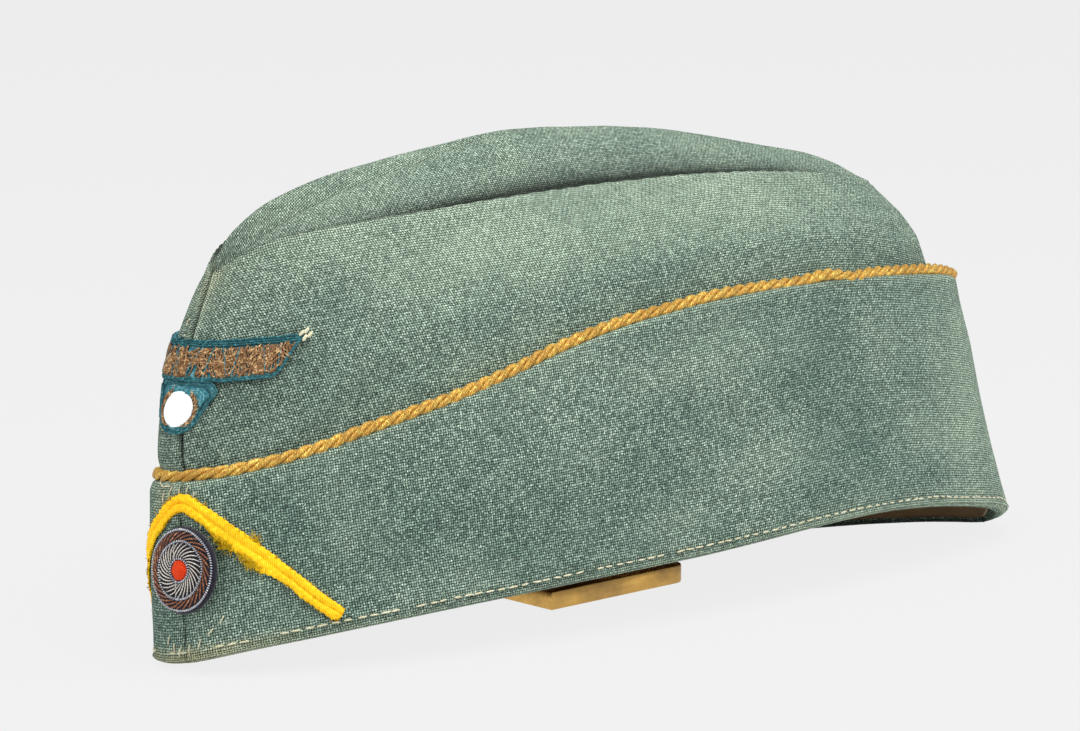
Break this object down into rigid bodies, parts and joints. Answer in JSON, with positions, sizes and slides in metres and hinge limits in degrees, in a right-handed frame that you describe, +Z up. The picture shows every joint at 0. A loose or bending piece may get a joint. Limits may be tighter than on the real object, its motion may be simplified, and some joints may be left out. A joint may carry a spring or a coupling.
{
  "type": "garrison cap on a display stand",
  "caption": "Grey-green wool garrison cap with a piped turn-up, braid chevron, cockade and woven badge, standing on a small brass display stand.",
  "frame": {"origin": "middle of the overall box, on the floor that the hem and the stand rest on", "axes": "+Z up, the front of the cap looks along -Y, +X is the wearer's left"},
  "size_m": [0.0934, 0.2826, 0.1228],
  "materials": {
    "crown_cloth": "grey-green melange wool, plain weave",
    "turn_up_cloth": "grey-green melange wool, plain weave",
    "lining": "tan-brown cotton twill",
    "gold_cord": "twisted old-gold cord",
    "yellow_braid": "bright yellow ribbed braid",
    "cockade_ground": "blue-black wool",
    "silver_wire": "tarnished silver metal thread",
    "bronze_thread": "tarnished bronze metal thread",
    "red_felt": "matt orange-red wool",
    "teal_weave": "teal machine-woven ground",
    "pale_weave": "plain off-white woven disc",
    "stand_brass": "satin brass with worn grey patches"
  },
  "bodies": {
    "root": {"crown_side_near": "crown_cloth", "crown_side_far": "crown_cloth", "crown_top_near": "crown_cloth", "crown_top_far": "crown_cloth", "turn_up_near": "turn_up_cloth", "turn_up_far": "turn_up_cloth", "lining_side_near": "lining", "lining_side_far": "lining", "lining_top_near": "lining", "lining_top_far": "lining", "piping_cord": "gold_cord", "chevron_braid": "yellow_braid", "cockade_base": "cockade_ground", "cockade_outer_wire": "silver_wire", "cockade_bronze_ring": "bronze_thread", "cockade_inner_wire": "silver_wire", "cockade_rayed_disc": "silver_wire", "cockade_eye_ring": "silver_wire", "cockade_centre": "red_felt", "badge_wing_ground": "teal_weave", "badge_disc_ground": "teal_weave", "badge_wing_near": "bronze_thread", "badge_wing_far": "bronze_thread", "badge_disc": "pale_weave", "stand_plate": "stand_brass", "stand_post": "stand_brass"}
  },
  "joints": []
}
